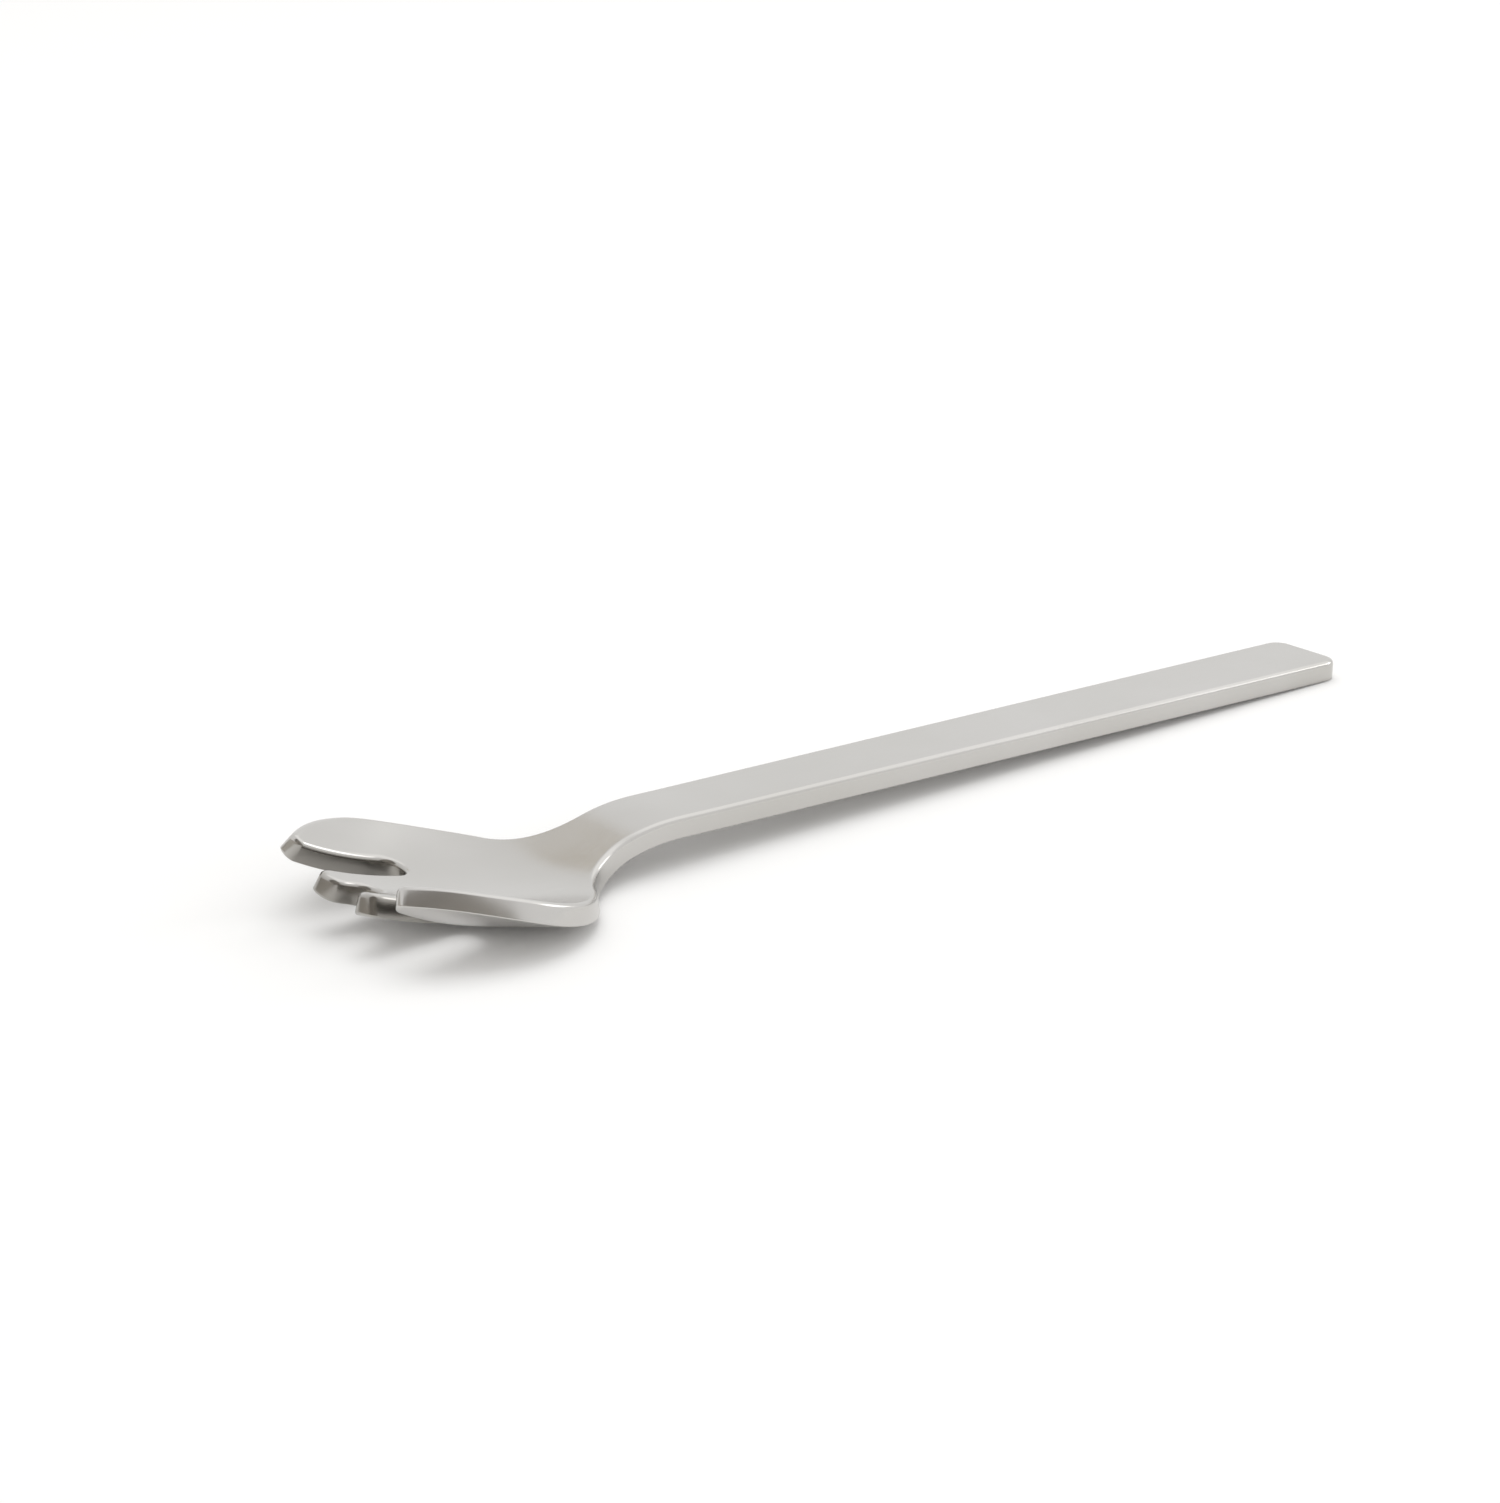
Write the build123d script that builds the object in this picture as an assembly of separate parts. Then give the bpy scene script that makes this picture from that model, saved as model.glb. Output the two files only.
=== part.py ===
from build123d import *
import math
import os

# Oyster fork, blanked from one sheet of stainless steel and pressed to shape.
# Millimetres. +X runs from the tine tips to the handle end, +Z is up, and Z = 0 is the table
# that the fork lies on, with the belly of its bowl and the end of its handle.
# The origin is on the table, half-way along the fork.

# Sheet
overall_length = 139.3
sheet_thickness = 2.35

# Handle: a flat strip that widens a little towards its end and slopes down to the table
neck_width = 8.9
neck_from_tips = 32.0
handle_end_width = 10.2
end_corner_radius = 2.1
handle_slope = 1.8

# Head in plan: cheeks at the widest place, longer arcs ahead of them, hollow shoulders behind
head_width = 31.3
widest_from_tips = 14.3
cheek_radius = 11.5
side_radius = 28.0
side_start_angle = 20.0
shoulder_radius = 9.6

# Tines: two inner ones with round tips and a short slot between, and two that follow the sides of the head
slot_width = 3.5
slot_length = 12.1
middle_slot_length = 4.0
inner_tine_width = 2.9
inner_tine_setback = 0.35
outer_tip_radius = 0.8

# Bowl: a long belly, dressed flat where it rests, and a cross section most curved at the tips
belly_from_tips = 20.7
rest_depth = 0.06
belly_radius = 52.0
tip_section_radius = 13.6
section_flattening = 13.4

# Neck: the bend that lifts the bowl to the line of the handle
bend_start = 20.3
bend_end = 44.3

# Pressed surface: spacing of its stations, how closely it follows them, margin past the outline
station_spacing = 2.0
surface_tolerance = 0.002
surface_margin = 3.0
stations_per_corner = 6


def neck_blend(u):
    """Share of the handle in the surface: 0 in the bowl, 1 on the handle, smooth between."""
    share = min(max((u - bend_start) / (bend_end - bend_start), 0.0), 1.0)
    return share**3 * (10.0 - 15.0 * share + 6.0 * share**2)


def top_height(u, y):
    """Height of the upper face, u being the distance from the tips."""
    slope = math.radians(handle_slope)
    section_radius = tip_section_radius * math.exp(u / section_flattening)
    belly = sheet_thickness - rest_depth + (u - belly_from_tips) ** 2 / (2.0 * belly_radius)
    bowl = belly + y**2 / (2.0 * section_radius)
    handle = sheet_thickness / math.cos(slope) + (overall_length - u) * math.tan(slope)
    share = neck_blend(u)
    return (1.0 - share) * bowl + share * handle


def upper_normal(u, y, step=0.01):
    """Unit normal of the upper face, pointing up."""
    rise_along = (top_height(u + step, y) - top_height(u - step, y)) / (2.0 * step)
    rise_across = (top_height(u, y + step) - top_height(u, y - step)) / (2.0 * step)
    return Vector(-rise_along, -rise_across, 1.0).normalized()


def stations(start, end):
    """Evenly spaced values from start to end, about one station spacing apart."""
    count = math.ceil((end - start) / station_spacing)
    return [start + (end - start) * index / count for index in range(count + 1)]


def pressed_face(depth):
    """One face of the pressed sheet, a given depth below the upper one, larger than the outline."""
    half_span = head_width / 2.0 + surface_margin
    grid = []
    for u in stations(-surface_margin, overall_length + surface_margin):
        row = []
        for y in stations(-half_span, half_span):
            row.append(Vector(u, y, top_height(u, y)) - upper_normal(u, y) * depth)
        grid.append(row)
    return Face.make_surface_from_array_of_points(grid, tol=surface_tolerance, min_deg=3, max_deg=5)


def edge_at(face, axis, side):
    """Border of a pressed face that lies furthest along an axis, on the given side."""
    return face.edges().sort_by(axis)[side]


def pressed_sheet():
    """The sheet after pressing and before trimming, as a closed solid."""
    upper = pressed_face(0.0)
    lower = pressed_face(sheet_thickness)
    faces = [upper, lower]
    for axis in (Axis.X, Axis.Y):
        for side in (0, -1):
            borders = (edge_at(upper, axis, side), edge_at(lower, axis, side))
            faces.append(Face.make_surface_from_curves(*borders))
    return Solid(Shell(faces))


def on_circle(center, radius, angle):
    """Point of a circle at an angle in degrees."""
    turn = math.radians(angle)
    return center + Vector(math.cos(turn), math.sin(turn)) * radius


def tine_outline(side_center):
    """Edge of the slots and tines on the +Y side, from the root of the middle slot to the outer tip."""
    half_slot = slot_width / 2.0
    slot_root = slot_length - half_slot
    middle_root = middle_slot_length - half_slot
    tip_radius = inner_tine_width / 2.0
    inner_tip = Vector(inner_tine_setback + tip_radius, half_slot + tip_radius)
    outer_slot = slot_width + inner_tine_width
    outer_edge = outer_slot + half_slot
    # The outer tip touches its slot and the side arc
    tip_height = outer_edge + outer_tip_radius
    rise = tip_height - side_center.Y
    run = math.sqrt((side_radius - outer_tip_radius) ** 2 - rise**2)
    outer_tip = Vector(side_center.X - run, tip_height)
    touch_angle = math.degrees(math.atan2(rise, -run))
    return [
        CenterArc((middle_root, 0.0), half_slot, 0.0, 90.0),
        Line((middle_root, half_slot), (inner_tip.X, half_slot)),
        CenterArc(inner_tip, tip_radius, 270.0, -180.0),
        Line((inner_tip.X, inner_tip.Y + tip_radius), (slot_root, inner_tip.Y + tip_radius)),
        CenterArc((slot_root, outer_slot), half_slot, 270.0, 180.0),
        Line((slot_root, outer_edge), (outer_tip.X, outer_edge)),
        CenterArc(outer_tip, outer_tip_radius, 270.0, touch_angle - 270.0),
    ], touch_angle


def half_outline():
    """Edge of the blank on the +Y side, from the middle slot round the head to the end of the handle."""
    cheek_center = Vector(widest_from_tips, head_width / 2.0 - cheek_radius)
    # The side arc touches the cheek ahead of its widest place
    side_angle = 90.0 + side_start_angle
    side_center = on_circle(cheek_center, cheek_radius - side_radius, side_angle)
    tines, touch_angle = tine_outline(side_center)
    # The handle's edge spreads from the neck to the end, where it turns round the corner
    spread = math.atan2((handle_end_width - neck_width) / 2.0, overall_length - neck_from_tips)
    along = Vector(math.cos(spread), math.sin(spread))
    outward = Vector(-along.Y, along.X)
    neck = Vector(neck_from_tips, neck_width / 2.0)
    run = (overall_length - neck.X - end_corner_radius * (1.0 - outward.X)) / along.X
    corner_center = neck + along * run - outward * end_corner_radius
    # The shoulder arc touches the cheek and the handle's edge
    from_cheek = neck + outward * shoulder_radius - cheek_center
    offset = from_cheek.dot(along)
    reach = cheek_radius + shoulder_radius
    shift = -offset + math.sqrt(offset**2 - from_cheek.length**2 + reach**2)
    shoulder_center = cheek_center + from_cheek + along * shift
    to_shoulder = shoulder_center - cheek_center
    meet_angle = math.degrees(math.atan2(to_shoulder.Y, to_shoulder.X))
    turn = math.degrees(spread)
    return tines + [
        CenterArc(side_center, side_radius, touch_angle, side_angle - touch_angle),
        CenterArc(cheek_center, cheek_radius, side_angle, meet_angle - side_angle),
        CenterArc(shoulder_center, shoulder_radius, 180.0 + meet_angle, 90.0 + turn - meet_angle),
        Line(shoulder_center - outward * shoulder_radius, corner_center + outward * end_corner_radius),
        CenterArc(corner_center, end_corner_radius, 90.0 + turn, -90.0 - turn),
        Line((overall_length, corner_center.Y), (overall_length, 0.0)),
    ]


def along_normal(point, level):
    """Where the normal of the upper face over a point of the blank crosses a level."""
    foot = Vector(point.X, point.Y, top_height(point.X, point.Y))
    normal = upper_normal(point.X, point.Y)
    return foot + normal * ((level - foot.Z) / normal.Z)


def carried_edge(edge, level, side, step=0.001):
    """An edge of the blank on one side of the fork, carried to a level along the sheet's normals."""
    count = max(math.ceil(edge.length / station_spacing), stations_per_corner)

    def carried(point):
        return along_normal(Vector(point.X, side * point.Y), level)

    points = [carried(edge.position_at(index / count)) for index in range(count + 1)]
    tangents = []
    for end in (0.0, 1.0):
        ahead = edge.tangent_at(end) * step
        tangents.append(carried(edge.position_at(end) + ahead) - carried(edge.position_at(end) - ahead))
    return Edge.make_spline(points, tangents)


def trimming_block():
    """Block with walls that stand square to the pressed sheet all round the outline."""
    over = top_height(0.0, head_width / 2.0) + surface_margin
    half = half_outline()
    loops = []
    for level in (-surface_margin, over):
        near = [carried_edge(edge, level, 1.0) for edge in half]
        far = [carried_edge(edge, level, -1.0) for edge in reversed(half)]
        loops.append(Wire(near + far))
    return Solid.make_loft(loops, ruled=True)


def fork_body():
    """The finished fork: the pressed sheet, trimmed square to its faces and dressed flat under the belly."""
    body = trimming_block() & pressed_sheet()
    under_belly = Box(bend_end, head_width, sheet_thickness, align=(Align.MIN, Align.CENTER, Align.MAX))
    body -= under_belly
    return Pos(-body.bounding_box().center().X, 0.0, 0.0) * body


os.makedirs("parts", exist_ok=True)
export_step(fork_body(), "parts/fork_body.step")
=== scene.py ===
import math

import bpy
import numpy as np
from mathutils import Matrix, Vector
from mathutils.geometry import delaunay_2d_cdt
from mathutils.kdtree import KDTree


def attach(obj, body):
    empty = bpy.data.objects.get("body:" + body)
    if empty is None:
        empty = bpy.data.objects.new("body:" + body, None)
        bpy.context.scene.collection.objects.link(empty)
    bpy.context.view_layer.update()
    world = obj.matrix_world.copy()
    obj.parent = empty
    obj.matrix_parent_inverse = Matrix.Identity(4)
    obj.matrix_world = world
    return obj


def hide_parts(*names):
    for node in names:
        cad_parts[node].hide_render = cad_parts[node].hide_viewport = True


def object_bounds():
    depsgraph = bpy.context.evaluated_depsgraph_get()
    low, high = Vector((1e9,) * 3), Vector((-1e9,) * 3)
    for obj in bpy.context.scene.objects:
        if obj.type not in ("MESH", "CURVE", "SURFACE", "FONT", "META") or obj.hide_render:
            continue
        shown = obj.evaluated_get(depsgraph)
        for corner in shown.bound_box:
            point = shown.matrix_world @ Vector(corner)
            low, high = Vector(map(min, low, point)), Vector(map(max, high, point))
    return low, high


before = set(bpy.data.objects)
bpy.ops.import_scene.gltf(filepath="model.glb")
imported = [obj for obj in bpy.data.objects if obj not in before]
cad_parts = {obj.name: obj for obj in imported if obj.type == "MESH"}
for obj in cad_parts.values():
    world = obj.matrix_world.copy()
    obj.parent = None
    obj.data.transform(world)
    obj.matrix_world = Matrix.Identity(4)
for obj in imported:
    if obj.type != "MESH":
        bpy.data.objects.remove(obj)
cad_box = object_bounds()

# A stainless steel oyster fork: a flat blank with softened edges, pressed to shape.
# Sizes are in millimetres, u being the distance from the tips along the fork.
MM = 0.001

# Sheet and its rounded edges, rounded more at the noses of the tines, over the softened length
overall_length = 139.3
sheet_thickness = 2.35
upper_edge_radius = 0.55
lower_edge_radius = 0.15
upper_tip_radius = 0.7
lower_tip_radius = 0.4
softened_length = 4.0

# Handle
neck_width = 8.9
neck_from_tips = 32.0
handle_end_width = 10.2
end_corner_radius = 2.1
handle_slope = 1.8

# Head in plan
head_width = 31.3
widest_from_tips = 14.3
cheek_radius = 11.5
side_radius = 28.0
side_start_angle = 20.0
shoulder_radius = 9.6

# Tines
slot_width = 3.5
slot_length = 12.1
middle_slot_length = 4.9
inner_tine_width = 2.9
inner_tine_setback = 0.6
outer_tip_radius = 0.8

# Bowl and neck
belly_from_tips = 20.7
rest_depth = 0.06
belly_radius = 52.0
tip_section_radius = 13.6
section_flattening = 13.4
bend_start = 20.3
bend_end = 44.3

# Mesh of the blank: steps along and round its edge, and the lattice of points that fills its faces
edge_spacing = 0.5
corner_steps = 10
rounding_steps = 6
flat_land = 0.15
room_used = 0.9
lattice_spacing = 0.8
lattice_rows = 20
lattice_clearance = 0.55 * lattice_spacing
tiny = 1e-6

# Finish: brush lines are a few hundredths of a millimetre apart, drawn here at 0.3 mm so that they show
line_width = 0.3
line_length = 9.0
line_depth = 0.02
line_strength = 0.03
cloud_size = 14.0
noise_low, noise_high = 0.3, 0.7
smooth_lines, rough_lines = 0.21, 0.25
cloud_roughness = 0.02
rubbed_roughness = -0.04


def put(tree, kind, links=(), **settings):
    """Adds a node with its settings, and links or sets its inputs by name or place."""
    made = tree.nodes.new(kind)
    for key, value in settings.items():
        setattr(made, key, value)
    for key, value in dict(links).items():
        if isinstance(value, bpy.types.Node):
            value = value.outputs[0]
        if isinstance(value, bpy.types.NodeSocket):
            tree.links.new(value, made.inputs[key])
        else:
            made.inputs[key].default_value = value
    return made


def linear(colour):
    """A hex sRGB colour as linear red, green, blue and alpha."""
    shades = [int(colour[place:place + 2], 16) / 255.0 for place in (1, 3, 5)]
    return [s / 12.92 if s <= 0.04045 else ((s + 0.055) / 1.055) ** 2.4 for s in shades] + [1.0]


def arc(center, radius, start, sweep):
    """Points of an arc of the outline, each with the way out of the metal, which lies on its right."""
    count = max(math.ceil(abs(math.radians(sweep)) * radius / edge_spacing), corner_steps)
    run = []
    for index in range(count):
        turn = math.radians(start + sweep * index / count)
        radial = Vector((math.cos(turn), math.sin(turn)))
        run.append((Vector(center) + radial * radius, radial * -math.copysign(1.0, sweep)))
    return run


def straight(start, end):
    """Points of a straight run of the outline, each with the way out of the metal."""
    start, end = Vector(start), Vector(end)
    ahead = (end - start).normalized()
    count = max(math.ceil((end - start).length / edge_spacing), 1)
    out = Vector((-ahead.y, ahead.x))
    return [(start.lerp(end, index / count), out) for index in range(count)]


def tine_run(side_center):
    """Outline of the slots and tines on the +Y side, and the angle where the side arc takes over."""
    half_slot = slot_width / 2.0
    slot_root = slot_length - half_slot
    middle_root = middle_slot_length - half_slot
    tip_radius = inner_tine_width / 2.0
    inner_tip = Vector((inner_tine_setback + tip_radius, half_slot + tip_radius))
    outer_slot = slot_width + inner_tine_width
    outer_edge = outer_slot + half_slot
    tip_height = outer_edge + outer_tip_radius
    rise = tip_height - side_center.y
    run = math.sqrt((side_radius - outer_tip_radius) ** 2 - rise**2)
    outer_tip = Vector((side_center.x - run, tip_height))
    touch_angle = math.degrees(math.atan2(rise, -run))
    return (
        arc((middle_root, 0.0), half_slot, 0.0, 90.0)
        + straight((middle_root, half_slot), (inner_tip.x, half_slot))
        + arc(inner_tip, tip_radius, 270.0, -180.0)
        + straight((inner_tip.x, inner_tip.y + tip_radius), (slot_root, inner_tip.y + tip_radius))
        + arc((slot_root, outer_slot), half_slot, 270.0, 180.0)
        + straight((slot_root, outer_edge), (outer_tip.x, outer_edge))
        + arc(outer_tip, outer_tip_radius, 270.0, touch_angle - 270.0)
    ), touch_angle


def half_run():
    """Outline of the blank on the +Y side, from the root of the middle slot to the handle's end."""
    cheek_center = Vector((widest_from_tips, head_width / 2.0 - cheek_radius))
    side_angle = 90.0 + side_start_angle
    side_turn = math.radians(side_angle)
    toward_side = Vector((math.cos(side_turn), math.sin(side_turn)))
    side_center = cheek_center - toward_side * (side_radius - cheek_radius)
    tines, touch_angle = tine_run(side_center)
    spread = math.atan2((handle_end_width - neck_width) / 2.0, overall_length - neck_from_tips)
    along = Vector((math.cos(spread), math.sin(spread)))
    outward = Vector((-along.y, along.x))
    neck = Vector((neck_from_tips, neck_width / 2.0))
    run = (overall_length - neck.x - end_corner_radius * (1.0 - outward.x)) / along.x
    corner_center = neck + along * run - outward * end_corner_radius
    from_cheek = neck + outward * shoulder_radius - cheek_center
    offset = from_cheek.dot(along)
    reach = cheek_radius + shoulder_radius
    shift = -offset + math.sqrt(offset**2 - from_cheek.length_squared + reach**2)
    shoulder_center = cheek_center + from_cheek + along * shift
    to_shoulder = shoulder_center - cheek_center
    meet_angle = math.degrees(math.atan2(to_shoulder.y, to_shoulder.x))
    turn = math.degrees(spread)
    return (
        tines
        + arc(side_center, side_radius, touch_angle, side_angle - touch_angle)
        + arc(cheek_center, cheek_radius, side_angle, meet_angle - side_angle)
        + arc(shoulder_center, shoulder_radius, 180.0 + meet_angle, 90.0 + turn - meet_angle)
        + straight(shoulder_center - outward * shoulder_radius, corner_center + outward * end_corner_radius)
        + arc(corner_center, end_corner_radius, 90.0 + turn, -90.0 - turn)
        + straight((overall_length, corner_center.y), (overall_length, 0.0))
    )


def edge_section(point, out):
    """Section through the edge of the sheet: how far in from the outline, how deep, how rounded, how much
    painted shade.
    The noses of the tines are rounded more than the rest, and the sides of the slots carry painted shade."""
    nose_share = max(-out.x, 0.0) ** 2 * max(1.0 - point.x / softened_length, 0.0)
    # Painted shade on the sides of the slots, fading out round the outer noses and high on the rounding,
    # where the rim keeps its shine
    outer_nose = 1.5 * slot_width + inner_tine_width + outer_tip_radius
    slot_shade = min(max((outer_nose - abs(point.y)) / outer_tip_radius, 0.0), 1.0)
    if point.x > slot_length + edge_spacing:
        slot_shade = 0.0
    upper, lower = [], []
    for side, edge_radius, tip_radius in (
        (upper, upper_edge_radius, upper_tip_radius),
        (lower, lower_edge_radius, lower_tip_radius),
    ):
        radius = edge_radius + (tip_radius - edge_radius) * nose_share
        side.append((radius + flat_land, 0.0, 0.0, 0.0))
        for step in range(rounding_steps + 1):
            turn = math.pi / 2.0 * step / rounding_steps
            inset, depth = radius * (1.0 - math.sin(turn)), radius * (1.0 - math.cos(turn))
            side.append((inset, depth, math.sin(2.0 * turn), slot_shade * math.sin(turn) ** 4))
    return upper + [(inset, sheet_thickness - depth, *shares) for inset, depth, *shares in reversed(lower)]


def inset_room(outline, insets):
    """Share of each point's inset that fits, from the largest circle in the outline that touches there."""
    places = np.array([point[:] for point, out in outline])
    inward = -np.array([out[:] for point, out in outline])
    across = places[None, :, :] - places[:, None, :]
    ahead = (across * inward[:, None, :]).sum(axis=2)
    span = (across**2).sum(axis=2)
    radii = np.where(ahead > tiny, span / np.maximum(2.0 * ahead, tiny), np.inf).min(axis=1)
    return np.minimum(room_used * radii / np.array(insets), 1.0)


def flat_blank():
    """Mesh of the blank before pressing: rounded edges all round, even triangles on both faces."""
    half = half_run()
    mirrored = [(Vector((p.x, -p.y)), Vector((n.x, -n.y))) for p, n in half[1:]]
    end = (Vector((overall_length, 0.0)), Vector((1.0, 0.0)))
    outline = half + [end] + mirrored[::-1]
    count = len(outline)
    points, rounding, slot_shades, faces = [], [], [], []
    sections = [edge_section(point, out) for point, out in outline]
    room = inset_room(outline, [max(station[0] for station in section) for section in sections])
    rings = len(sections[0])
    for ring in range(rings):
        for (point, out), section, fits in zip(outline, sections, room):
            inset, depth, rounded, slot_shade = section[ring]
            place = point - out * inset * fits
            points.append((place.x, place.y, -depth))
            rounding.append(rounded)
            slot_shades.append(slot_shade)
    for ring in range(rings - 1):
        for index in range(count):
            after = (index + 1) % count
            a, b = ring * count + index, ring * count + after
            faces.append((a, b, b + count, a + count))
    # Both faces of the sheet are filled from their innermost rings with a lattice of points
    for ring, depth in ((0, 0.0), (rings - 1, sheet_thickness)):
        ring_start = ring * count
        rim = [Vector(place[:2]) for place in points[ring_start:ring_start + count]]
        near = KDTree(count)
        for index, place in enumerate(rim):
            near.insert((place.x, place.y, 0.0), index)
        near.balance()
        lattice = []
        for column in range(int(overall_length / lattice_spacing)):
            for row in range(-lattice_rows, lattice_rows + 1):
                place = Vector(((column + 0.5) * lattice_spacing, row * lattice_spacing))
                if near.find((place.x, place.y, 0.0))[2] > lattice_clearance:
                    lattice.append(place)
        filled = delaunay_2d_cdt(rim + lattice, [], [list(range(count))], 1, tiny)
        corners, triangles, sources = filled[0], filled[2], filled[3]
        place_of = {}
        for triangle in triangles:
            loop = []
            for corner in triangle:
                source = min(sources[corner])
                if source < count:
                    loop.append(ring_start + source)
                    continue
                if source not in place_of:
                    place_of[source] = len(points)
                    points.append((corners[corner].x, corners[corner].y, -depth))
                    rounding.append(0.0)
                    slot_shades.append(0.0)
                loop.append(place_of[source])
            faces.append(loop[::-1] if ring else loop)
    mesh = bpy.data.meshes.new("flat_blank")
    mesh.from_pydata(points, [], faces)
    mesh.attributes.new("rounding", "FLOAT", "POINT").data.foreach_set("value", rounding)
    # The painted shade on the sides of the slots is kept as a point attribute
    mesh.attributes.new("slot_shade", "FLOAT", "POINT").data.foreach_set("value", slot_shades)
    return mesh


def pressing_tree(material):
    """Geometry Nodes that press the flat blank: each point goes to the upper face and down its normal."""
    tree = bpy.data.node_groups.new("pressing", "GeometryNodeTree")
    tree.interface.new_socket("Blank", in_out="INPUT", socket_type="NodeSocketGeometry")
    for name in pressing_sizes:
        tree.interface.new_socket(name, in_out="INPUT", socket_type="NodeSocketFloat")
    tree.interface.new_socket("Fork", in_out="OUTPUT", socket_type="NodeSocketGeometry")
    given = put(tree, "NodeGroupInput").outputs
    place = put(tree, "ShaderNodeSeparateXYZ", {0: put(tree, "GeometryNodeInputPosition")}).outputs
    u, y, depth = place[0], place[1], place[2]

    # Bowl: a long belly plus a cross section that flattens towards the neck
    ahead = put(tree, "ShaderNodeMath", {0: u, 1: given["Belly from tips"]}, operation="SUBTRACT")
    ahead_squared = put(tree, "ShaderNodeMath", {0: ahead, 1: ahead}, operation="MULTIPLY")
    twice_belly = put(tree, "ShaderNodeMath", {0: given["Belly radius"], 1: 2.0}, operation="MULTIPLY")
    belly = put(tree, "ShaderNodeMath", {0: ahead_squared, 1: twice_belly}, operation="DIVIDE")
    reach = put(tree, "ShaderNodeMath", {0: u, 1: given["Section flattening"]}, operation="DIVIDE")
    growth = put(tree, "ShaderNodeMath", {0: reach}, operation="EXPONENT")
    section = put(tree, "ShaderNodeMath", {0: growth, 1: given["Tip section radius"]}, operation="MULTIPLY")
    across = put(tree, "ShaderNodeMath", {0: y, 1: section}, operation="DIVIDE")
    dish = put(tree, "ShaderNodeMath", {0: across, 1: y}, operation="MULTIPLY")
    half_dish = put(tree, "ShaderNodeMath", {0: dish, 1: 0.5}, operation="MULTIPLY")
    trough = put(tree, "ShaderNodeMath", {0: belly, 1: half_dish}, operation="ADD")
    bowl = put(tree, "ShaderNodeMath", {0: trough, 1: given["Belly height"]}, operation="ADD")
    belly_slope = put(tree, "ShaderNodeMath", {0: ahead, 1: given["Belly radius"]}, operation="DIVIDE")
    fading = put(tree, "ShaderNodeMath", {0: half_dish, 1: given["Section flattening"]}, operation="DIVIDE")
    bowl_slope = put(tree, "ShaderNodeMath", {0: belly_slope, 1: fading}, operation="SUBTRACT")

    # Handle: a plane that falls to the table
    left = put(tree, "ShaderNodeMath", {0: given["Overall length"], 1: u}, operation="SUBTRACT")
    handle = put(tree, "ShaderNodeMath", {0: left, 1: given["Handle fall"], 2: given["Handle end height"]},
                 operation="MULTIPLY_ADD")

    # Neck: a smooth change from the bowl to the handle. Its slope is 30 times the squared product of
    # the share travelled and the share left, over the length of the bend
    bend = {"Value": u, "From Min": given["Bend start"], "From Max": given["Bend end"]}
    share = put(tree, "ShaderNodeMapRange", bend, interpolation_type="SMOOTHERSTEP")
    travel = put(tree, "ShaderNodeMapRange", bend, interpolation_type="LINEAR")
    rest = put(tree, "ShaderNodeMath", {0: 1.0, 1: travel}, operation="SUBTRACT")
    hump = put(tree, "ShaderNodeMath", {0: travel, 1: rest}, operation="MULTIPLY")
    hump_squared = put(tree, "ShaderNodeMath", {0: hump, 1: hump}, operation="MULTIPLY")
    bend_ends = {0: given["Bend end"], 1: given["Bend start"]}
    bend_length = put(tree, "ShaderNodeMath", bend_ends, operation="SUBTRACT")
    pace = put(tree, "ShaderNodeMath", {0: 30.0, 1: bend_length}, operation="DIVIDE")
    share_slope = put(tree, "ShaderNodeMath", {0: hump_squared, 1: pace}, operation="MULTIPLY")
    lift = put(tree, "ShaderNodeMath", {0: handle, 1: bowl}, operation="SUBTRACT")
    top = put(tree, "ShaderNodeMath", {0: share, 1: lift, 2: bowl}, operation="MULTIPLY_ADD")

    # Slopes of the upper face, and its normal
    turn = put(tree, "ShaderNodeMath", {0: share_slope, 1: lift}, operation="MULTIPLY")
    fall = put(tree, "ShaderNodeMath", {0: bowl_slope, 1: given["Handle fall"]}, operation="ADD")
    eased = put(tree, "ShaderNodeMath", {0: share, 1: fall}, operation="MULTIPLY")
    turned = put(tree, "ShaderNodeMath", {0: bowl_slope, 1: turn}, operation="ADD")
    slope_along = put(tree, "ShaderNodeMath", {0: turned, 1: eased}, operation="SUBTRACT")
    bowl_share = put(tree, "ShaderNodeMath", {0: 1.0, 1: share}, operation="SUBTRACT")
    slope_across = put(tree, "ShaderNodeMath", {0: across, 1: bowl_share}, operation="MULTIPLY")
    slopes = put(tree, "ShaderNodeCombineXYZ", {0: slope_along, 1: slope_across, 2: -1.0})
    upright = put(tree, "ShaderNodeVectorMath", {0: slopes, "Scale": -1.0}, operation="SCALE")
    normal = put(tree, "ShaderNodeVectorMath", {0: upright}, operation="NORMALIZE")
    sunk = put(tree, "ShaderNodeVectorMath", {0: normal, "Scale": depth}, operation="SCALE")

    # The pressed place, flat on the table under the belly, in metres
    start = put(tree, "ShaderNodeMath", {0: u, 1: given["Middle from tips"]}, operation="SUBTRACT")
    face = put(tree, "ShaderNodeCombineXYZ", {0: start, 1: y, 2: top})
    pressed = put(tree, "ShaderNodeVectorMath", {0: face, 1: sunk}, operation="ADD")
    on_table = put(tree, "ShaderNodeVectorMath", {0: pressed, 1: (-overall_length, -overall_length, 0.0)},
                   operation="MAXIMUM")
    metres = put(tree, "ShaderNodeVectorMath", {0: on_table, "Scale": MM}, operation="SCALE")
    moved = put(tree, "GeometryNodeSetPosition", {"Geometry": given["Blank"], "Position": metres})
    smooth = put(tree, "GeometryNodeSetShadeSmooth", {"Geometry": moved})
    whole = put(tree, "GeometryNodeRealizeInstances", {"Geometry": smooth})
    clad = put(tree, "GeometryNodeSetMaterial", {"Geometry": whole, "Material": material})
    put(tree, "NodeGroupOutput", {"Fork": clad})
    return tree


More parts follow.
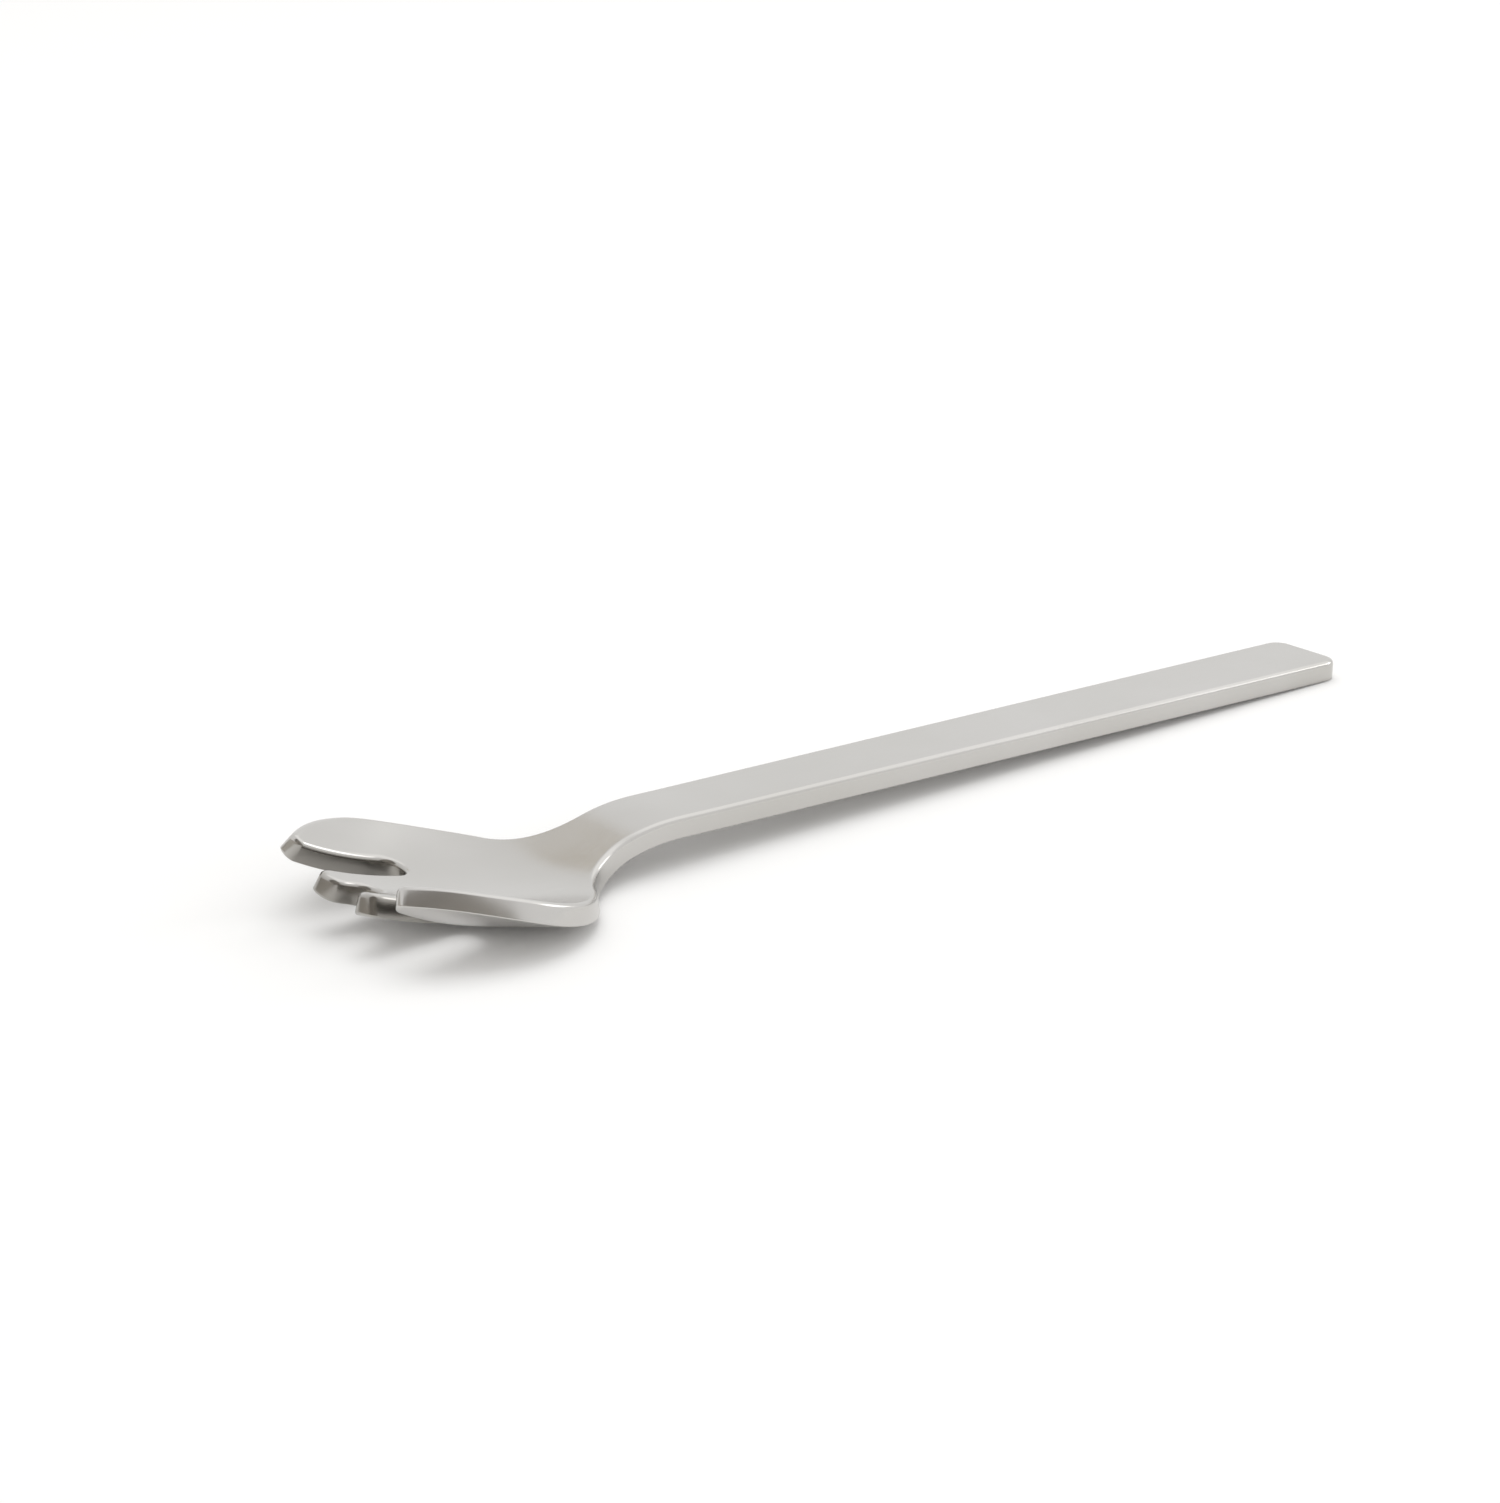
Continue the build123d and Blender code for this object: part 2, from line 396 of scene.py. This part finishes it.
def satin_steel():
    """Stainless steel, satin brushed along its length and tumbled: a soft even sheen with brighter,
    rubbed edges."""
    material = bpy.data.materials.new("stainless_steel_satin_brushed")
    material.use_nodes = True
    tree = material.node_tree
    tree.nodes.clear()
    place = put(tree, "ShaderNodeTexCoord").outputs["Object"]
    along, across = 1.0 / (line_length * MM), 1.0 / (line_width * MM)
    lines = put(tree, "ShaderNodeMapping", {"Vector": place, "Scale": (along, across, across)})
    line_noise = {"Vector": lines, "Scale": 1.0, "Detail": 3.0, "Roughness": 0.6}
    brushed = put(tree, "ShaderNodeTexNoise", line_noise)
    cloud_noise = {"Vector": place, "Scale": 1.0 / (cloud_size * MM), "Detail": 2.0}
    cloud = put(tree, "ShaderNodeTexNoise", cloud_noise)
    # Roughness follows the brush lines and wide soft clouds, and is less on the rubbed edges
    noise_span = {"From Min": noise_low, "From Max": noise_high}
    line_span = {"Value": brushed, "To Min": smooth_lines, "To Max": rough_lines}
    lined = put(tree, "ShaderNodeMapRange", noise_span | line_span)
    cloud_span = {"Value": cloud, "To Min": -cloud_roughness, "To Max": cloud_roughness}
    clouded = put(tree, "ShaderNodeMapRange", noise_span | cloud_span)
    uneven = put(tree, "ShaderNodeMath", {0: lined, 1: clouded}, operation="ADD")
    rubbed = put(tree, "ShaderNodeAttribute", attribute_name="rounding").outputs["Fac"]
    rubbing = {0: rubbed, 1: rubbed_roughness, 2: uneven}
    polish = put(tree, "ShaderNodeMath", rubbing, operation="MULTIPLY_ADD")
    # The colour drifts a little with the clouds
    tone = put(tree, "ShaderNodeMapRange", noise_span | {"Value": cloud})
    tones = {"Factor": tone, "A": linear("#C0BEBA"), "B": linear("#C5C3C0")}
    colour = put(tree, "ShaderNodeMix", tones, data_type="RGBA").outputs["Result"]
    # The sides of the slots are darkened with painted shade, standing in for the shaded table and tines that
    # they mirror
    slot_shade = put(tree, "ShaderNodeAttribute", attribute_name="slot_shade").outputs["Fac"]
    slot_shading = {"Factor": slot_shade, "A": colour, "B": linear("#9C9994")}
    shaded_colour = put(tree, "ShaderNodeMix", slot_shading, data_type="RGBA").outputs["Result"]
    relief = {"Height": brushed, "Strength": line_strength, "Distance": line_depth * MM}
    grain = put(tree, "ShaderNodeBump", relief)
    metal = {"Base Color": shaded_colour, "Metallic": 1.0, "Roughness": polish, "Normal": grain}
    steel = put(tree, "ShaderNodeBsdfPrincipled", metal)
    put(tree, "ShaderNodeOutputMaterial", {"Surface": steel})
    return material


# The fork: the blank is pressed by the tree and kept as a plain mesh
middle_from_tips = overall_length - cad_box[1].x / MM
pressing_sizes = {
    "Overall length": overall_length,
    "Belly height": sheet_thickness - rest_depth,
    "Belly from tips": belly_from_tips,
    "Belly radius": belly_radius,
    "Tip section radius": tip_section_radius,
    "Section flattening": section_flattening,
    "Bend start": bend_start,
    "Bend end": bend_end,
    "Handle fall": math.tan(math.radians(handle_slope)),
    "Handle end height": sheet_thickness / math.cos(math.radians(handle_slope)),
    "Middle from tips": middle_from_tips,
}
pressing = pressing_tree(satin_steel())
blank = bpy.data.objects.new("blank", flat_blank())
bpy.context.scene.collection.objects.link(blank)
press = blank.modifiers.new("press", "NODES")
press.node_group = pressing
for socket in pressing.interface.items_tree:
    if socket.name in pressing_sizes:
        press[socket.identifier] = pressing_sizes[socket.name]
pressed = blank.evaluated_get(bpy.context.evaluated_depsgraph_get())
fork = bpy.data.objects.new("fork", bpy.data.meshes.new_from_object(pressed))
bpy.context.scene.collection.objects.link(fork)
bpy.data.objects.remove(blank)
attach(fork, "root")
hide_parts("fork_body")


def seen_share(tree):
    """1 for what the camera sees, straight or in the metal, and 0 for light on its way to a matt surface."""
    ray = put(tree, "ShaderNodeLightPath").outputs
    straight_or_mirrored = {0: ray["Is Camera Ray"], 1: ray["Is Glossy Ray"]}
    seen = put(tree, "ShaderNodeMath", straight_or_mirrored, operation="MAXIMUM")
    return put(tree, "ShaderNodeMath", {0: seen, 1: ray["Is Transmission Ray"]}, operation="MAXIMUM")


def matt_card(name, seen, lit, fade=None):
    """Matt card for the table and the studio, with a colour where it is seen and one for light it returns.
    A card with a fade turns clear between those two distances from the fork, so that it shows no horizon."""
    material = bpy.data.materials.new(name)
    material.use_nodes = True
    tree = material.node_tree
    tree.nodes.clear()
    colours = {"Factor": seen_share(tree), "A": linear(lit), "B": linear(seen)}
    colour = put(tree, "ShaderNodeMix", colours, data_type="RGBA").outputs["Result"]
    surface = put(tree, "ShaderNodeBsdfDiffuse", {"Color": colour})
    if fade:
        place = put(tree, "ShaderNodeTexCoord").outputs["Object"]
        reach = put(tree, "ShaderNodeVectorMath", {0: place}, operation="LENGTH").outputs["Value"]
        gone = put(tree, "ShaderNodeMapRange", {"Value": reach, "From Min": fade[0], "From Max": fade[1]})
        clear = put(tree, "ShaderNodeBsdfTransparent")
        surface = put(tree, "ShaderNodeMixShader", {0: gone, 1: surface, 2: clear})
    put(tree, "ShaderNodeOutputMaterial", {"Surface": surface})
    return material


def staged_card(name, corners, material):
    """Flat card of the studio, in metres."""
    mesh = bpy.data.meshes.new(name)
    mesh.from_pydata(corners, [], [(0, 1, 2, 3)])
    mesh.materials.append(material)
    card = bpy.data.objects.new(name, mesh)
    bpy.context.scene.collection.objects.link(card)
    return card


# Table: a plain white sheet that keeps the shadow and fades out away from the fork
table_reach = 3.0
staged_card(
    "table",
    [(-table_reach, -table_reach, 0.0), (table_reach, -table_reach, 0.0),
     (table_reach, table_reach, 0.0), (-table_reach, table_reach, 0.0)],
    matt_card("matt_white_paper", "#FFFFFF", "#F5F3EF", fade=(0.5, 1.1)),
)

# Cards that only the steel sees: two dim ones on the near side, a paler one past the tips, and a small warm
# one behind the handle
near, far, left, right = -0.9, 1.7, -0.95, 0.26
low_top, high_top, high_near, high_left = 0.6, 2.4, -0.5, -1.6
warm_back, warm_left, warm_right, warm_foot, warm_top = 1.14, 0.3, 0.52, 0.72, 0.96
for name, corners, colour in (
    ("near_low", [(left, near, 0.0), (right, near, 0.0), (right, near, low_top), (left, near, low_top)],
     "#A8A49F"),
    ("near_high", [(high_left, near, low_top), (right, near, low_top),
                   (right, high_near, high_top), (high_left, high_near, high_top)],
     "#A5A19C"),
    ("left_low", [(left, far, 0.0), (left, near, 0.0), (left, near, low_top), (left, far, low_top)],
     "#CECAC4"),
    ("warm_wall", [(warm_left, warm_back, warm_foot), (warm_right, warm_back, warm_foot),
                   (warm_right, warm_back, warm_top), (warm_left, warm_back, warm_top)],
     "#D9CDB9"),
):
    card = staged_card(name, corners, matt_card("matt_card_" + name, colour, colour))
    card.visible_camera = False
    card.visible_shadow = False
    card.visible_diffuse = False

# Light: a white room that gives less light than it shows, so that the shadow keeps its depth
room_light, room_seen = 0.7, 1.0
world = bpy.data.worlds.new("white_room")
bpy.context.scene.world = world
world.use_nodes = True
tree = world.node_tree
tree.nodes.clear()
seen = seen_share(tree)
level = put(tree, "ShaderNodeMapRange", {"Value": seen, "To Min": room_light, "To Max": room_seen})
tints = {"Factor": seen, "A": linear("#FFFEFC"), "B": linear("#FFFFFF")}
tint = put(tree, "ShaderNodeMix", tints, data_type="RGBA").outputs["Result"]
room = put(tree, "ShaderNodeBackground", {"Color": tint, "Strength": level})
put(tree, "ShaderNodeOutputWorld", {"Surface": room})

# Four soft lights in metres and watts: silk in front, a softbox overhead, and two at the handle's end, which
# the steel mirrors
for name, place, width, height, energy, mirrored in (
    ("front_silk", (0.0, -1.0, 0.33), 3.0, 0.5, 3.0, False),
    ("overhead_softbox", (0.12, 0.22, 1.1), 1.0, 1.0, 3.55, False),
    ("side_softbox", (0.87, -0.27, 0.42), 0.48, 0.28, 0.75, True),
    ("side_silk", (0.75, 0.05, 0.95), 1.5, 1.0, 1.56, True),
):
    light = bpy.data.lights.new(name, "AREA")
    light.shape = "RECTANGLE"
    light.size = width
    light.size_y = height
    light.energy = energy
    softbox = bpy.data.objects.new(name, light)
    softbox.location = place
    softbox.rotation_euler = Vector(place).to_track_quat("Z", "Y").to_euler()
    softbox.visible_glossy = mirrored
    bpy.context.scene.collection.objects.link(softbox)

# Camera at the photograph's place, for an almost square frame: millimetres from the tips, the middle line and
# the table, then degrees down from the level and round from the +Y axis
camera_from_tips, camera_across, camera_height = -204.67, -309.05, 147.62
camera_tilt, camera_heading = 19.07, -39.77
lens_camera = bpy.data.cameras.new("camera")
lens_camera.sensor_fit = "HORIZONTAL"
lens_camera.sensor_width = 36.0
lens_camera.lens = 96.58
lens_camera.clip_start = 0.01
camera = bpy.data.objects.new("camera", lens_camera)
camera.location = ((camera_from_tips - middle_from_tips) * MM, camera_across * MM, camera_height * MM)
camera.rotation_euler = (math.radians(90.0 - camera_tilt), 0.0, math.radians(camera_heading))
bpy.context.scene.collection.objects.link(camera)
bpy.context.scene.camera = camera

bpy.context.scene.view_settings.view_transform = "Standard"
